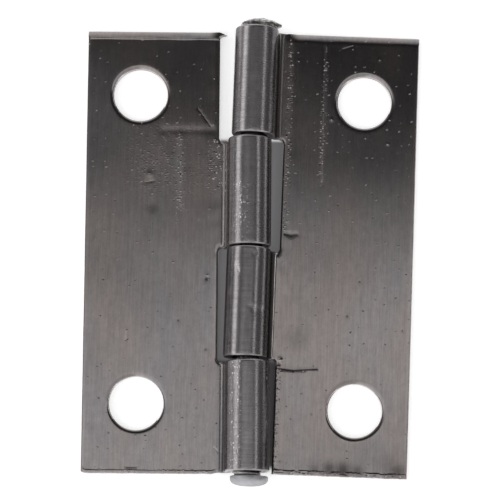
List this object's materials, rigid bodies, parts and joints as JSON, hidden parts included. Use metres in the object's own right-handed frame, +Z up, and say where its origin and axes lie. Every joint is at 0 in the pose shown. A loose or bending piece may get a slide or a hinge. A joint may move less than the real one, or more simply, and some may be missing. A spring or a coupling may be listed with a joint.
{
  "type": "butt hinge",
  "caption": "Small plain steel butt hinge lying open: two stamped leaves with rolled knuckles and plain screw holes, on a loose pin with a domed and a hammered end.",
  "frame": {"origin": "under the middle of the pin, on the plane of the leaf backs", "axes": "+X across the hinge towards the leaf that swings, +Y along the pin towards its hammered end, +Z up from the backs of the leaves towards the viewer"},
  "size_m": [0.0376, 0.0528, 0.0049],
  "materials": {
    "leaf_steel": "bare sheet steel with fine lengthwise grain",
    "pin_steel": "bare drawn wire with hammered end"
  },
  "bodies": {
    "fixed_leaf": {"leaf_left": "leaf_steel", "pin": "pin_steel"},
    "swing_leaf": {"leaf_right": "leaf_steel"}
  },
  "joints": [
    {"name": "leaf_swing", "type": "hinge", "parent": "fixed_leaf", "child": "swing_leaf", "pos_m": [0, 0, 0.00245], "axis": [0, -1, 0], "range_deg": [-100, 180]}
  ]
}
